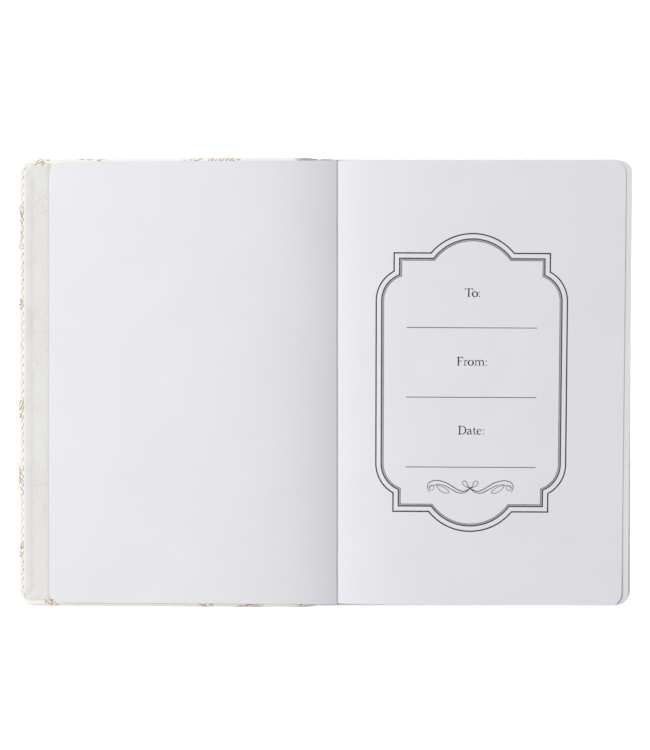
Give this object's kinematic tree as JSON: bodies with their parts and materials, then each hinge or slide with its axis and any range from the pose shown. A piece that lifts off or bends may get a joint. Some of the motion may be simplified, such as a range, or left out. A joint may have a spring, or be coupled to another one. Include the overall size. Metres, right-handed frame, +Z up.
{
  "type": "prayer book",
  "caption": "Open soft-cover devotional book with a stitched cream leather-look cover, rounded corners, sewn page block and a framed presentation page.",
  "frame": {"origin": "middle of the open book's footprint, on the table surface it rests on", "axes": "+Z up from the table; +Y towards the head (top edge) of the pages; +X towards the fore edge of the right-hand page, so the opened front cover lies towards -X"},
  "size_m": [0.2299, 0.1676, 0.0156],
  "materials": {
    "cream_leather": "soft-grained matt imitation leather with tan line printing",
    "grey_board": "raw grey board, hidden inside the cover",
    "lining": "matt paper with a faint grey line pattern",
    "cream_thread": "slightly glossy twisted thread",
    "book_paper": "smooth uncoated white paper",
    "flyleaf_paper": "smooth uncoated white paper, a little heavier",
    "gauze": "open-weave bleached gauze",
    "kraft": "brown kraft paper, hidden",
    "band": "woven cord band"
  },
  "bodies": {
    "back_cover": {"back_cover_leather": "cream_leather", "back_cover_board": "grey_board", "back_cover_pastedown": "lining", "back_cover_stitch_thread": "cream_thread"},
    "spine": {"spine_leather": "cream_leather", "spine_strip": "grey_board"},
    "front_cover": {"front_cover_leather": "cream_leather", "front_cover_board": "grey_board", "front_cover_pastedown": "lining", "front_cover_stitch_thread": "cream_thread"},
    "block_spine": {"spine_gauze": "gauze", "spine_liner": "kraft", "sewing_thread": "cream_thread", "head_band": "band", "tail_band": "band"},
    "section_12": {"section_12": "book_paper", "back_flyleaf": "flyleaf_paper"},
    "section_11": {"section_11": "book_paper"},
    "section_10": {"section_10": "book_paper"},
    "section_09": {"section_09": "book_paper"},
    "section_08": {"section_08": "book_paper"},
    "section_07": {"section_07": "book_paper"},
    "section_06": {"section_06": "book_paper"},
    "section_05": {"section_05": "book_paper"},
    "section_04": {"section_04": "book_paper"},
    "section_03": {"section_03": "book_paper"},
    "section_02": {"section_02": "book_paper"},
    "front_hinge_strip": {"front_hinge_strip": "lining"},
    "front_flyleaf": {"front_flyleaf": "flyleaf_paper"},
    "first_section": {"section_01": "book_paper"},
    "second_leaf": {"second_leaf": "book_paper"},
    "presentation_leaf": {"presentation_leaf": "book_paper"}
  },
  "joints": [
    {"name": "front_cover_turn", "type": "hinge", "parent": "spine", "child": "front_cover", "pos_m": [-0.00591, 0, 0.0125], "axis": [0, 1, 0], "range_deg": [0, 140.02]},
    {"name": "spine_lean", "type": "hinge", "parent": "back_cover", "child": "spine", "pos_m": [0.00545, 0, 0.00145], "axis": [0, 1, 0], "range_deg": [0, 45.79]},
    {"name": "block_spine_lean", "type": "hinge", "parent": "section_12", "child": "block_spine", "pos_m": [0.00685, 0, 0.00375], "axis": [0, 1, 0], "range_deg": [0, 12.07]},
    {"name": "block_slip", "type": "slide", "parent": "back_cover", "child": "section_12", "axis": [-1, 0, 0], "range_m": [0, 0.0017]},
    {"name": "section_11_slip", "type": "slide", "parent": "back_cover", "child": "section_11", "axis": [-1, 0, 0], "range_m": [0, 0.00148]},
    {"name": "section_10_slip", "type": "slide", "parent": "back_cover", "child": "section_10", "axis": [-1, 0, 0], "range_m": [0, 0.00126]},
    {"name": "section_09_slip", "type": "slide", "parent": "back_cover", "child": "section_09", "axis": [-1, 0, 0], "range_m": [0, 0.00104]},
    {"name": "section_08_slip", "type": "slide", "parent": "back_cover", "child": "section_08", "axis": [-1, 0, 0], "range_m": [0, 0.000821]},
    {"name": "section_07_slip", "type": "slide", "parent": "back_cover", "child": "section_07", "axis": [-1, 0, 0], "range_m": [0, 0.000601]},
    {"name": "section_06_slip", "type": "slide", "parent": "back_cover", "child": "section_06", "axis": [-1, 0, 0], "range_m": [0, 0.000381]},
    {"name": "section_05_slip", "type": "slide", "parent": "back_cover", "child": "section_05", "axis": [-1, 0, 0], "range_m": [0, 0.000161]},
    {"name": "section_04_slip", "type": "slide", "parent": "back_cover", "child": "section_04", "axis": [1, 0, 0], "range_m": [0, 0.000061]},
    {"name": "section_03_slip", "type": "slide", "parent": "back_cover", "child": "section_03", "axis": [1, 0, 0], "range_m": [0, 0.000281]},
    {"name": "section_02_slip", "type": "slide", "parent": "back_cover", "child": "section_02", "axis": [1, 0, 0], "range_m": [0, 0.000501]},
    {"name": "hinge_strip_turn", "type": "hinge", "parent": "section_02", "child": "front_hinge_strip", "pos_m": [0.00465, 0, 0.01562], "axis": [0, 1, 0], "range_deg": [0, 185.87]},
    {"name": "flyleaf_turn", "type": "hinge", "parent": "front_hinge_strip", "child": "front_flyleaf", "pos_m": [0.00465, 0, 0.01562], "axis": [0, -1, 0], "range_deg": [-185.86, 0]},
    {"name": "first_section_turn", "type": "hinge", "parent": "section_02", "child": "first_section", "pos_m": [0.00465, 0, 0.01562], "axis": [0, 1, 0], "range_deg": [-174.14, 0]},
    {"name": "second_leaf_turn", "type": "hinge", "parent": "first_section", "child": "second_leaf", "pos_m": [0.00465, 0, 0.01562], "axis": [0, 1, 0], "range_deg": [-185.86, 0]},
    {"name": "presentation_leaf_turn", "type": "hinge", "parent": "second_leaf", "child": "presentation_leaf", "pos_m": [0.00465, 0, 0.01562], "axis": [0, 1, 0], "range_deg": [-185.86, 0]}
  ],
  "couplings": [
    {"joint": "front_cover_turn", "follows": "block_slip", "rad_per_m": 1437.5},
    {"joint": "spine_lean", "follows": "block_slip", "rad_per_m": 470.05},
    {"joint": "block_spine_lean", "follows": "block_slip", "rad_per_m": 123.78},
    {"joint": "section_11_slip", "follows": "block_slip", "ratio": 0.87059},
    {"joint": "section_10_slip", "follows": "block_slip", "ratio": 0.74118},
    {"joint": "section_09_slip", "follows": "block_slip", "ratio": 0.61177},
    {"joint": "section_08_slip", "follows": "block_slip", "ratio": 0.48235},
    {"joint": "section_07_slip", "follows": "block_slip", "ratio": 0.35294},
    {"joint": "section_06_slip", "follows": "block_slip", "ratio": 0.22353},
    {"joint": "section_05_slip", "follows": "block_slip", "ratio": 0.094118},
    {"joint": "section_04_slip", "follows": "block_slip", "ratio": 0.035294},
    {"joint": "section_03_slip", "follows": "block_slip", "ratio": 0.16471},
    {"joint": "section_02_slip", "follows": "block_slip", "ratio": 0.29412},
    {"joint": "hinge_strip_turn", "follows": "block_slip", "rad_per_m": 1908.1}
  ]
}
